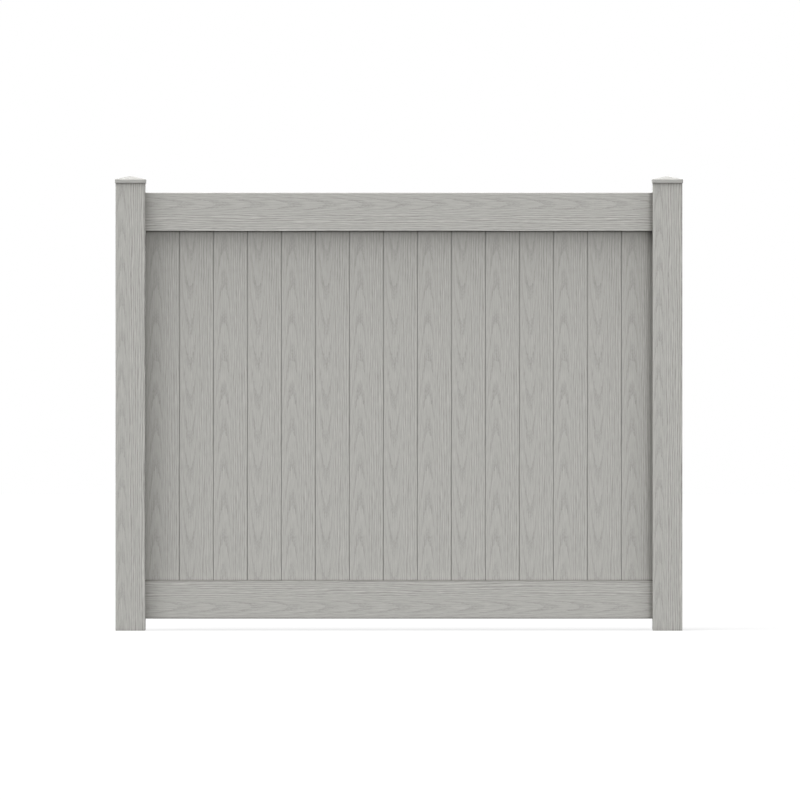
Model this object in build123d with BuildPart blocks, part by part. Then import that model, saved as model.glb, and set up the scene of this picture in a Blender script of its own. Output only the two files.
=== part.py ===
from build123d import *
from math import atan2, degrees
import os

# Composite privacy fence panel in millimetres. +X runs along the fence, +Z is up, and the origin
# is on the ground midway between the two posts. The front faces -Y, and the back is alike.

# Whole panel
overall_width = 2438.0  # over the outer faces of the two posts
panel_height = 1833.5  # underside of the bottom rail to the top of the top rail
ground_gap = 51.0  # ground to the underside of the bottom rail

# Posts: square hollow extrusions with routed holes for the rails
post_size = 127.0
post_wall = 3.8
post_corner = 6.0
post_bore_corner = 2.0
post_above_rail = 41.5  # top of the top rail to the lower edge of the cap

# Post caps: moulded covers with a skirt outside the post and a low pyramid roof
cap_skirt = 15.0
cap_rise = 14.5
cap_wall = 2.6
cap_fit = 0.3
cap_peak = 8.0
cap_edge = 1.0

# Rails: one hollow extrusion, used with its pocket up at the bottom and down at the top
rail_height = 165.1
rail_depth = 50.8
rail_wall = 2.8
rail_corner = 3.2
rail_reach = 30.0  # how far each end goes in past the face of the post
rail_fit = 0.8
pocket_depth = 40.0
pocket_fit = 0.5
pocket_lip = 1.0  # rounding of the edges on the side with the pocket

# Lock tabs: wedges punched out of the rail ends, which catch behind the post wall
tab_height = 22.0
tab_rise = 2.4
tab_fit = 0.4
tab_end_margin = 6.0

# Weep holes through the bottom rail
weep_radius = 4.0
weep_count = 4
weep_spacing = 560.0

# Stiffener: a folded steel channel, open side down, in the bottom rail
stiffener_height = 44.0
stiffener_gauge = 1.5
stiffener_bend = 3.0
stiffener_fit = 0.5

# Boards: hollow tongue-and-groove extrusions
board_count = 15
last_board_rip = 13.0  # cut off the last board to fit it against the right post
board_thickness = 22.2
board_wall = 1.6
board_bevel = 1.2
board_webs = 4
board_web = 1.3
board_end_gap = 0.5  # between an end board and its post
board_top_gap = 8.0  # room to expand inside the top rail
board_joint_gap = 1.2  # shows as a dark line between two boards
tongue_length = 9.0
tongue_thickness = 8.0
tongue_lead = 1.2
tongue_fit = 0.3

# Places worked out from the sizes above
post_centre_x = (overall_width - post_size) / 2
post_face_x = overall_width / 2 - post_size
post_bore = post_size - 2 * post_wall
bottom_rail_z = ground_gap
rail_top_z = ground_gap + panel_height
top_rail_z = rail_top_z - rail_height
cap_z = rail_top_z + post_above_rail
cap_eaves_z = cap_z + cap_skirt
post_height = cap_eaves_z - cap_wall
cap_size = post_size + 2 * (cap_fit + cap_wall)

rail_length = 2 * (post_face_x + rail_reach)
pocket_width = board_thickness + 2 * pocket_fit
rail_chamber_corner = rail_corner - rail_wall
rail_web_height = rail_wall + stiffener_height + stiffener_fit
stiffener_width = rail_depth - 2 * (rail_wall + rail_chamber_corner + stiffener_fit)

board_limit_x = post_face_x - board_end_gap
board_cover = (2 * board_limit_x + last_board_rip) / board_count  # spacing of the joints
board_z = bottom_rail_z + rail_height - pocket_depth
board_length = top_rail_z + pocket_depth - board_top_gap - board_z

os.makedirs("parts", exist_ok=True)


def save(piece, name):
    """Labels a finished piece and writes it as a node of its own."""
    piece.label = name
    export_step(piece, f"parts/{name}.step")


def make_post(side):
    """A post, with holes for both rails routed in the wall that faces the panel."""
    with BuildPart() as post:
        with BuildSketch(Plane((side * post_centre_x, 0, 0))):
            RectangleRounded(post_size, post_size, post_corner)
            RectangleRounded(post_bore, post_bore, post_bore_corner, mode=Mode.SUBTRACT)
        extrude(amount=post_height)
        hole_width = rail_depth + 2 * rail_fit
        hole_height = rail_height + rail_fit
        hole_centres = [(0, base + hole_height / 2) for base in (bottom_rail_z, top_rail_z)]
        with BuildSketch(Plane.YZ.offset(side * post_face_x)):
            with Locations(*hole_centres):
                RectangleRounded(hole_width, hole_height, pocket_lip)
        extrude(amount=side * 2 * post_wall, mode=Mode.SUBTRACT)
    return post.part


def taper_to_peak(base_size, rise):
    """The taper that narrows a square of base_size to the cap's flat peak over the rise."""
    return degrees(atan2((base_size - cap_peak) / 2, rise))


def make_cap(side):
    """A cap: its inner ledge rests on the rim of the post, and its skirt hides the rim."""
    centre_x = side * post_centre_x
    outer_corner = post_corner + cap_fit + cap_wall
    socket_size = post_size + 2 * cap_fit
    hollow_rise = cap_eaves_z + cap_rise - cap_wall - post_height
    with BuildPart() as cap:
        with BuildSketch(Plane((centre_x, 0, cap_eaves_z))):
            Rectangle(cap_size, cap_size)
        extrude(amount=cap_rise, taper=taper_to_peak(cap_size, cap_rise))
        with BuildSketch(Plane((centre_x, 0, cap_z))):
            Rectangle(cap_size, cap_size)
        extrude(amount=cap_skirt)
        with BuildSketch(Plane((centre_x, 0, cap_z))):
            RectangleRounded(cap_size, cap_size, outer_corner)
        extrude(amount=cap_skirt + cap_rise, mode=Mode.INTERSECT)
        eaves = cap.edges().filter_by_position(Axis.Z, cap_eaves_z, cap_eaves_z + cap_rise / 4)
        chamfer(eaves, length=cap_edge)
        with BuildSketch(Plane((centre_x, 0, cap_z))):
            RectangleRounded(socket_size, socket_size, post_corner + cap_fit)
        extrude(amount=post_height - cap_z, mode=Mode.SUBTRACT)
        with BuildSketch(Plane((centre_x, 0, post_height))):
            Rectangle(post_bore, post_bore)
        extrude(amount=hollow_rise, taper=taper_to_peak(post_bore, hollow_rise), mode=Mode.SUBTRACT)
    return cap.part


def make_rail(closed_edge_z, pocket_direction):
    """A rail that runs up (1) or down (-1) from its closed edge to the edge with the pocket."""
    start = Plane(
        origin=(-rail_length / 2, 0, closed_edge_z),
        x_dir=(0, pocket_direction, 0),
        z_dir=(1, 0, 0),
    )
    top_aligned = (Align.CENTER, Align.MAX)
    with BuildPart() as rail:
        with BuildSketch(start) as section:
            with Locations((0, rail_height / 2)):
                Rectangle(rail_depth, rail_height)
                fillet(section.vertices().group_by(Axis.Y)[0], radius=rail_corner)
                RectangleRounded(
                    rail_depth - 2 * rail_wall,
                    rail_height - 2 * rail_wall,
                    rail_chamber_corner,
                    mode=Mode.SUBTRACT,
                )
            with Locations((0, rail_web_height + rail_wall / 2)):
                Rectangle(rail_depth - rail_wall, rail_wall)
            with Locations((0, rail_height)):
                Rectangle(
                    pocket_width + 2 * rail_wall, pocket_depth + rail_wall, align=top_aligned
                )
                Rectangle(pocket_width, pocket_depth, align=top_aligned, mode=Mode.SUBTRACT)
            fillet(section.vertices().group_by(Axis.Y)[-1], radius=pocket_lip)
        extrude(amount=rail_length)
        tab_z = closed_edge_z + pocket_direction * rail_height / 2 - tab_height / 2
        tab_start = post_face_x + post_wall + tab_fit
        tab_end = post_face_x + rail_reach - tab_end_margin
        for end in (-1, 1):
            for face in (-1, 1):
                wall_y = face * (rail_depth - rail_wall) / 2
                crest_y = face * (rail_depth / 2 + tab_rise)
                with BuildSketch(Plane.XY.offset(tab_z)):
                    with BuildLine():
                        Polyline(
                            (end * tab_start, wall_y),
                            (end * tab_start, crest_y),
                            (end * tab_end, face * rail_depth / 2),
                            (end * tab_end, wall_y),
                            close=True,
                        )
                    make_face()
                extrude(amount=tab_height)
    return rail.part


def make_board(left_x):
    """A board whose joints lie at left_x and one cover width on, ripped where it would meet a post."""
    half = board_thickness / 2
    left_edge = board_joint_gap / 2
    right_edge = board_cover - board_joint_gap / 2
    groove_half = tongue_thickness / 2 + tongue_fit
    groove_end = left_edge + tongue_length + tongue_fit
    tongue_half = tongue_thickness / 2
    tongue_tip = right_edge + tongue_length
    upper_edge = [
        (groove_end, groove_half),
        (left_edge, groove_half),
        (left_edge, half - board_bevel),
        (left_edge + board_bevel, half),
        (right_edge - board_bevel, half),
        (right_edge, half - board_bevel),
        (right_edge, tongue_half),
        (tongue_tip - tongue_lead, tongue_half),
        (tongue_tip, tongue_half - tongue_lead),
    ]
    lower_edge = [(x, -y) for x, y in reversed(upper_edge)]
    web_spacing = (right_edge - groove_end) / (board_webs + 1)
    with BuildPart() as board:
        with BuildSketch(Plane((left_x, 0, board_z))):
            with BuildLine():
                Polyline(*upper_edge, *lower_edge, close=True)
            make_face()
            offset(amount=-board_wall, kind=Kind.INTERSECTION, mode=Mode.SUBTRACT)
            with Locations(*[(groove_end + web_spacing * (i + 1), 0) for i in range(board_webs)]):
                Rectangle(board_web, board_thickness - board_wall)
            with Locations((-left_x, 0)):
                Rectangle(2 * board_limit_x, 2 * board_thickness, mode=Mode.INTERSECT)
        extrude(amount=board_length)
    return board.part


for side_name, side in (("left", -1), ("right", 1)):
    save(make_post(side), f"{side_name}_post")
    save(make_cap(side), f"{side_name}_cap")

save(make_rail(rail_top_z, -1), "top_rail")

with BuildPart() as bottom_rail:
    add(make_rail(bottom_rail_z, 1))
    with GridLocations(weep_spacing, 0, weep_count, 1):
        Hole(weep_radius)
save(bottom_rail.part, "bottom_rail")

with BuildPart() as stiffener:
    with BuildSketch(Plane.YZ.offset(-rail_length / 2)) as channel:
        with Locations((0, bottom_rail_z + rail_wall)):
            Rectangle(stiffener_width, stiffener_height, align=(Align.CENTER, Align.MIN))
        fillet(channel.vertices().group_by(Axis.Y)[-1], radius=stiffener_bend)
        with Locations((0, bottom_rail_z + rail_wall)):
            Rectangle(
                stiffener_width - 2 * stiffener_gauge,
                stiffener_height - stiffener_gauge,
                align=(Align.CENTER, Align.MIN),
                mode=Mode.SUBTRACT,
            )
    extrude(amount=rail_length)
save(stiffener.part, "rail_stiffener")

# The boards start with a full one at the left post, and the last one is ripped to fit.
for index in range(board_count):
    save(make_board(index * board_cover - board_limit_x), f"board_{index + 1:02d}")
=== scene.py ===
from math import pi, radians

import bpy
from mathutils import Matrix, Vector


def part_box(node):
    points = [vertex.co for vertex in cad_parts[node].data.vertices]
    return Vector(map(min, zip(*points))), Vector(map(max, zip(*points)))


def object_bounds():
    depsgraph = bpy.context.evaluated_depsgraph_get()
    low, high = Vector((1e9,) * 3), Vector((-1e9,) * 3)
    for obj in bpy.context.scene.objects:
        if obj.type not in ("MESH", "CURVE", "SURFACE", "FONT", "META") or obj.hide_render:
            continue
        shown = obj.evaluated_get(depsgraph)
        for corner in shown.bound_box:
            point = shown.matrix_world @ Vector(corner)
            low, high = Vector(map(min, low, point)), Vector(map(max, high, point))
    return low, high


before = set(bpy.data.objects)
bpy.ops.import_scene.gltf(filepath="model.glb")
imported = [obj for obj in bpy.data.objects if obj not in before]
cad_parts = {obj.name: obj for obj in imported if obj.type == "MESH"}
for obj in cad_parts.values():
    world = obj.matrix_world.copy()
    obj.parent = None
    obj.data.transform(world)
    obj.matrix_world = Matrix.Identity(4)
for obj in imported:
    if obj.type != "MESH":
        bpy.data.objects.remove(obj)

cad_low, cad_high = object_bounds()

# Posts
# Square hollow extrusions of grey composite, with wood grain rolled into the skin while it is warm.
# They stand on the ground, and the rails lock into holes routed in their inner faces.


class Value:
    """A number that changes over a surface. Maths on it adds Math nodes where it is worked out."""

    def __init__(self, socket):
        self.socket = socket

    def __add__(self, other):
        return maths("ADD", self, other)

    __radd__ = __add__

    def __sub__(self, other):
        return maths("SUBTRACT", self, other)

    def __rsub__(self, other):
        return maths("SUBTRACT", other, self)

    def __mul__(self, other):
        return maths("MULTIPLY", self, other)

    __rmul__ = __mul__

    def __truediv__(self, other):
        return maths("DIVIDE", self, other)

    def __pow__(self, other):
        return maths("POWER", self, other)

    def __abs__(self):
        return maths("ABSOLUTE", self)


def feed(socket, value):
    """Links a value to a socket, or sets the socket to a plain number, vector or colour."""
    if isinstance(value, Value):
        value.socket.id_data.links.new(value.socket, socket)
    else:
        socket.default_value = value


def maths(operation, *terms):
    """One Math node on these terms, at least one of which is a value."""
    tree = next(term.socket.id_data for term in terms if isinstance(term, Value))
    node = tree.nodes.new("ShaderNodeMath")
    node.operation = operation
    for socket, term in zip(node.inputs, terms):
        feed(socket, term)
    return Value(node.outputs[0])


class Finish:
    """The nodes of a material, or of the world."""

    def __init__(self, owner):
        owner.use_nodes = True
        self.owner = owner
        self.tree = owner.node_tree

    def node(self, kind, settings, sockets, output=0):
        """Adds a node, sets it, fills its sockets and gives the value of one of its outputs."""
        made = self.tree.nodes.new("ShaderNode" + kind)
        for name, setting in settings.items():
            setattr(made, name, setting)
        for name, value in sockets.items():
            feed(made.inputs[name], value)
        return Value(made.outputs[output])

    def point(self):
        """A point on the piece, in metres in the panel's frame."""
        return self.node("TexCoord", {}, {}, "Object")

    def place(self):
        """The three coordinates of a point on the piece."""
        point = self.point()
        return [self.node("SeparateXYZ", {}, {"Vector": point}, axis) for axis in "XYZ"]

    def streaks(self, across, along, width, length, seed):
        """Noise drawn out along the grain, with features of about this width and length."""
        stretched = self.node(
            "CombineXYZ", {}, {"X": across / width, "Y": along / length, "Z": seed}
        )
        return self.node("TexNoise", {}, {"Vector": stretched, "Scale": 1.0, "Detail": 2.0})

    def ramp(self, value, start, end, low, high):
        """Goes smoothly from low to high as the value goes from start to end, and stays there."""
        return self.node("MapRange", {"interpolation_type": "SMOOTHSTEP"}, {
            "Value": value, "From Min": start, "From Max": end, "To Min": low, "To Max": high})

    def blend(self, share, first, second):
        """A colour between two others. The Mix node's colour sockets go by number."""
        return self.node("Mix", {"data_type": "RGBA"}, {0: share, 6: first, 7: second}, 2)

    def darken(self, distance, fade, most):
        """The share of the dark tint at this distance from an edge or corner; most uses paint
        shade.
        """
        return maths("EXPONENT", abs(distance) / -fade) * most

    def surface(self, colour, roughness, relief, depth, gloss):
        """Finishes the surface with a colour, a roughness and a relief of this depth in metres."""
        shader = self.tree.nodes["Principled BSDF"]
        shader.inputs["Specular IOR Level"].default_value = gloss
        feed(shader.inputs["Base Color"], colour)
        feed(shader.inputs["Roughness"], roughness)
        bump = self.node("Bump", {}, {"Height": relief, "Strength": 1.0, "Distance": depth})
        feed(shader.inputs["Normal"], bump)


noise_middle = 0.5
arch_spacing = 0.1568
arch_sway = 0.010
arch_lean = 0.08
arch_drift = 0.20
arch_raggedness = 0.36
widest_reach = 1.4
plain_lift = 0.08  # tone of the plain wood between the arches, above the middle
shade_drop = 0.20
pore_contrast = 0.8
outline_drop = 0.14
line_spacing = 0.0094
line_wander = 3.0
side_lines = 1.4  # strength of the straight lines beside the arches, against 0.4 within them
grain_dark = (0.302, 0.298, 0.282, 1.0)
grain_light = (0.480, 0.474, 0.450, 1.0)
grain_middle = 0.5
grain_roughest = 0.68
grain_smoothing = 0.14
grain_depth = 0.0003
grain_gloss = 0.12
# The colour that painted shade, and the painted dark lines at ledges, feet and joints, go towards.
dark_tint = (0.105, 0.100, 0.090, 1.0)


def roll_grain(finish, across, along, half_width, rise, seed, line_strength, darkened):
    """Cathedral grain: nested arches that point along, with straight grain to either side."""

    def noise(width, length, layer):
        """Streaks on this piece, with a seed of its own for each layer."""
        return finish.streaks(across, along, width, length, seed + layer)

    sway = finish.streaks(0.0, along, width=1.0, length=0.30, seed=seed) - noise_middle
    drift = noise(width=0.045, length=0.16, layer=3.0) - noise_middle
    ragged = noise(width=0.005, length=0.030, layer=5.0) - noise_middle
    wander = noise(width=0.030, length=0.40, layer=7.0)
    pores = noise(width=0.0045, length=0.011, layer=9.0) - noise_middle
    fine = noise(width=0.0028, length=0.05, layer=11.0) - noise_middle
    patches = noise(width=0.008, length=0.045, layer=13.0)

    # Reach is 0 on the axis of the arches and 1 at the half width. Ring goes from 0 to 1 within
    # each arch.
    centred = across + sway * arch_sway
    reach = maths("MINIMUM", abs(centred) / (half_width - centred * arch_lean), widest_reach)
    nested = (along + reach ** 2.0 * rise) / arch_spacing
    ring = maths("FRACT", nested + drift * arch_drift + ragged * arch_raggedness)
    arms = finish.ramp(reach, start=1.0, end=1.35, low=1.0, high=0.0)
    in_tip = finish.ramp(reach, start=0.35, end=0.95, low=1.0, high=0.25)
    off_axis = finish.ramp(reach, start=0.10, end=0.40, low=0.2, high=1.0)
    shade = finish.ramp(ring, start=0.32, end=0.52, low=1.0, high=0.0) * in_tip
    outline = finish.ramp(ring, start=0.12, end=0.26, low=1.0, high=0.0) * off_axis
    arches = plain_lift - shade * (shade_drop - pores * pore_contrast) - outline * outline_drop

    broken = finish.ramp(patches, start=0.30, end=0.70, low=0.15, high=0.85)
    turns = across / line_spacing + wander * line_wander
    straight = maths("SINE", turns * (2.0 * pi)) * broken

    beside = (side_lines - arms) * straight * line_strength
    tone = grain_middle + arms * arches + beside + fine
    # The grain is painted towards the dark tint by the share given, most of which is painted shade.
    colour = finish.blend(darkened, finish.blend(tone, grain_dark, grain_light), dark_tint)
    roughness = grain_roughest - tone * grain_smoothing
    finish.surface(colour, roughness, tone, grain_depth, grain_gloss)


def dress(material, *nodes):
    """Puts a finish on CAD nodes."""
    for name in nodes:
        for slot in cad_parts[name].material_slots:
            slot.material = material


post_low, post_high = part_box("left_post")
post_size = post_high.x - post_low.x
post_centre = (post_low.x + post_high.x) / 2
post_face = -post_high.x  # from the middle of the panel to the inner face of a post
skirt_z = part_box("left_cap")[0].z
post_arch_share = 0.22  # place of the arches across a face
post_arch_offset = 0.0115

post_finish = Finish(bpy.data.materials.new("post_grain"))
x, y, z = post_finish.place()
side = maths("SIGN", x)
round_post = maths("FRACT", (x + side * post_centre - y) / post_size)
# Shade is painted below the cap skirt, and the lowest few millimetres are painted darker.
skirt_shade = post_finish.darken(z - skirt_z, fade=0.005, most=0.85)
skirt_soft_shade = post_finish.darken(z - skirt_z, fade=0.05, most=0.10)
at_foot = post_finish.darken(z, fade=0.005, most=0.35)
roll_grain(
    post_finish,
    across=(round_post - post_arch_share) * post_size,
    along=z + post_arch_offset,
    half_width=0.029,
    rise=0.20,
    seed=1.0,
    line_strength=0.56,
    darkened=skirt_shade + skirt_soft_shade + at_foot,
)
dress(post_finish.owner, "left_post", "right_post")

# Rails
# One hollow extrusion, used twice: its pocket holds the ends of the boards. The grain runs along
# it. The ends go through the routed holes and lock behind the walls of the posts.

rail_low, rail_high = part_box("bottom_rail")
top_low, top_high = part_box("top_rail")
rail_middle = (rail_low.z + top_high.z) / 2
rail_half_span = (top_high.z - rail_low.z) / 2
rail_half_depth = 0.0254  # to the faces, without the lock tabs
rail_arch_axis = 0.051  # from the closed edge
rail_arch_offset = 0.007
ledge_z = rail_high.z
lip_z = top_low.z

rail_finish = Finish(bpy.data.materials.new("rail_grain"))
x, y, z = rail_finish.place()
from_closed_edge = rail_half_span - abs(z - rail_middle) - (rail_half_depth - abs(y))
# Shade is painted beside the posts and along the lowest edge, and a dark line along the ledge.
on_ledge = rail_finish.darken(z - ledge_z, fade=0.003, most=0.90)
shade_by_post = rail_finish.darken(post_face - abs(x), fade=0.022, most=0.45)
at_foot = rail_finish.darken(z - rail_low.z, fade=0.004, most=0.55)
roll_grain(
    rail_finish,
    across=from_closed_edge - rail_arch_axis,
    along=x + rail_arch_offset,
    half_width=0.039,
    rise=0.30,
    seed=maths("SIGN", z - rail_middle) + 20.0,
    line_strength=0.50,
    darkened=on_ledge + shade_by_post + at_foot,
)
dress(rail_finish.owner, "bottom_rail", "top_rail")

# Rail stiffener
# A folded channel of galvanised sheet that lies in the lower chamber of the bottom rail, so that
# the boards don't make it sag. Only its ends could ever be seen, inside the posts.

zinc_dull = (0.36, 0.37, 0.38, 1.0)
zinc_bright = (0.62, 0.64, 0.65, 1.0)
zinc_smoothest = 0.34
zinc_roughening = 0.16
spangle_size = 0.009

zinc_finish = Finish(bpy.data.materials.new("galvanised_sheet"))
spangle = zinc_finish.node(
    "TexVoronoi", {}, {"Vector": zinc_finish.point(), "Scale": 1.0 / spangle_size}, "Color"
)
grey = zinc_finish.node("SeparateColor", {}, {"Color": spangle}, "Red")
zinc_finish.surface(
    zinc_finish.blend(grey, zinc_dull, zinc_bright),
    roughness=zinc_smoothest + grey * zinc_roughening,
    relief=grey,
    depth=0.00002,
    gloss=0.5,
)
zinc_finish.tree.nodes["Principled BSDF"].inputs["Metallic"].default_value = 1.0
dress(zinc_finish.owner, "rail_stiffener")

# Boards
# Hollow tongue-and-groove extrusions, rolled with one grain. They are dropped into the bottom rail
# one after another, every second one turned end for end, so that its arches point down.

board_names = sorted(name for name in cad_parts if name.startswith("board_"))
first_low, first_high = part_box(board_names[0])
board_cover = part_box(board_names[1])[0].x - first_low.x
board_face = first_high.y
board_arch_share = 0.315  # place of the arches across a board
upright_offset = 0.0872
turned_offset = 0.0747

board_finish = Finish(bpy.data.materials.new("board_grain"))
x, y, z = board_finish.place()
count = (x - first_low.x) / board_cover
turned = maths("MODULO", maths("FLOOR", count), 2.0)
arch_offset = upright_offset + turned * (turned_offset - upright_offset)
# Shade is painted below the top rail and beside the posts, and the two terms that fade slowly
# carry the soft shade there. A dark line is painted along the ledge, and the joint walls darker.
on_ledge = board_finish.darken(z - ledge_z, fade=0.003, most=0.50)
lip_shade = board_finish.darken(z - lip_z, fade=0.010, most=0.42)
soft_shade_below_lip = board_finish.darken(z - lip_z, fade=0.22, most=0.26)
corner_shade = board_finish.darken(post_face - abs(x), fade=0.026, most=0.36)
shade_by_post = board_finish.darken(post_face - abs(x), fade=0.15, most=0.07)
in_joint = board_finish.ramp(board_face - abs(y), start=0.0002, end=0.0018, low=0.0, high=0.55)
roll_grain(
    board_finish,
    across=(maths("FRACT", count) - board_arch_share) * board_cover,
    along=z * (1.0 - 2.0 * turned) + arch_offset,
    half_width=0.0328,
    rise=0.186,
    seed=40.0,
    line_strength=0.36,
    darkened=on_ledge + lip_shade + soft_shade_below_lip + corner_shade + shade_by_post + in_joint,
)
dress(board_finish.owner, *board_names)

# Post caps
# Moulded covers of the same composite without grain, with the faint texture of the mould. Their
# skirts go over the posts, and a ledge inside rests on each rim.

cap_shade = (0.372, 0.368, 0.350, 1.0)
cap_pale = (0.392, 0.388, 0.370, 1.0)
cap_smoothest = 0.56
cap_roughening = 0.12

cap_finish = Finish(bpy.data.materials.new("cap_satin"))
point = cap_finish.point()
cloud = cap_finish.node("TexNoise", {}, {"Vector": point, "Scale": 22.0, "Detail": 3.0})
pebble = cap_finish.node("TexNoise", {}, {"Vector": point, "Scale": 900.0, "Detail": 1.0})
cap_finish.surface(
    cap_finish.blend(cloud, cap_shade, cap_pale),
    roughness=cap_smoothest + cloud * cap_roughening,
    relief=pebble,
    depth=0.00008,
    gloss=0.1,
)
dress(cap_finish.owner, "left_cap", "right_cap")

# Floor
# A plain pale floor that shows white, with a faint shadow of the panel. It gives little light back,
# so that the undersides stay dark.

white = (1.0, 1.0, 1.0, 1.0)
floor_half_size = 60.0
floor_drop = 0.0005  # below the posts, so that their ends don't lie in it
floor_seen = (0.60, 0.60, 0.60, 1.0)
floor_bounce = (0.03, 0.03, 0.03, 1.0)
shadow_share = 0.25

bpy.ops.object.select_all(action="DESELECT")
bpy.ops.mesh.primitive_plane_add(size=2 * floor_half_size, location=(0.0, 0.0, -floor_drop))
floor = bpy.context.object
floor.name = "floor"
floor_finish = Finish(bpy.data.materials.new("pale_floor"))
seen = floor_finish.node("LightPath", {}, {}, "Is Camera Ray")
lit = floor_finish.node("BsdfDiffuse", {}, {"Color": floor_seen})
glow = floor_finish.node("Emission", {}, {"Color": white, "Strength": 1.0})
dim = floor_finish.node("BsdfDiffuse", {}, {"Color": floor_bounce})
shown = floor_finish.node("MixShader", {}, {0: shadow_share, 1: glow, 2: lit})
either = floor_finish.node("MixShader", {}, {0: seen, 1: dim, 2: shown})
feed(floor_finish.tree.nodes["Material Output"].inputs["Surface"], either)
floor.data.materials.append(floor_finish.owner)

# Light
# A white surround that gives little light itself, two soft lamps overhead, three wide ones low in
# front and at the sides, and two low behind, for the back of the panel.

surround_light = 0.03

world = bpy.data.worlds.new("studio")
bpy.context.scene.world = world
surround = Finish(world)
camera_ray, glossy_ray, clear_ray = [
    surround.node("LightPath", {}, {}, f"Is {kind} Ray")
    for kind in ("Camera", "Glossy", "Transmission")
]
direct = maths("MINIMUM", camera_ray + glossy_ray + clear_ray, 1.0)
background = surround.tree.nodes["Background"]
feed(background.inputs["Color"], white)
feed(background.inputs["Strength"], surround_light + direct * (1.0 - surround_light))


def soft_light(name, strength, spread, azimuth, elevation):
    """A light with no place, only a direction: azimuth goes from the front to the right."""
    bpy.ops.object.light_add(
        type="SUN", rotation=(radians(90.0 - elevation), 0.0, radians(azimuth))
    )
    lamp = bpy.context.object
    lamp.name = name
    lamp.data.energy = strength
    lamp.data.angle = radians(spread)


soft_light("zenith_light", strength=1.1, spread=12.0, azimuth=-20.0, elevation=84.0)
soft_light("overhead_light", strength=3.2, spread=20.0, azimuth=-41.0, elevation=74.0)
soft_light("left_light", strength=2.0, spread=34.0, azimuth=-71.0, elevation=14.0)
soft_light("right_front_light", strength=1.71, spread=30.0, azimuth=25.0, elevation=12.0)
soft_light("right_light", strength=0.9, spread=34.0, azimuth=66.0, elevation=14.0)
soft_light("back_left_light", strength=2.6, spread=40.0, azimuth=-158.0, elevation=6.0)
soft_light("back_right_light", strength=1.8, spread=40.0, azimuth=163.0, elevation=6.0)

# Camera
# Square on to the front and far away, as in the photo, with the middle of the panel a little left
# of the middle of the picture.

picture_width = 3.44
camera_distance = 42.0
camera_x = 0.0045
camera_height = 0.992
sensor_width = 36.0

bpy.ops.object.camera_add(
    location=(camera_x, cad_low.y - camera_distance, camera_height),
    rotation=(radians(90.0), 0.0, 0.0),
)
camera = bpy.context.object
camera.data.sensor_width = sensor_width
camera.data.lens = sensor_width * camera_distance / picture_width
bpy.context.scene.camera = camera
bpy.context.scene.view_settings.view_transform = "Standard"
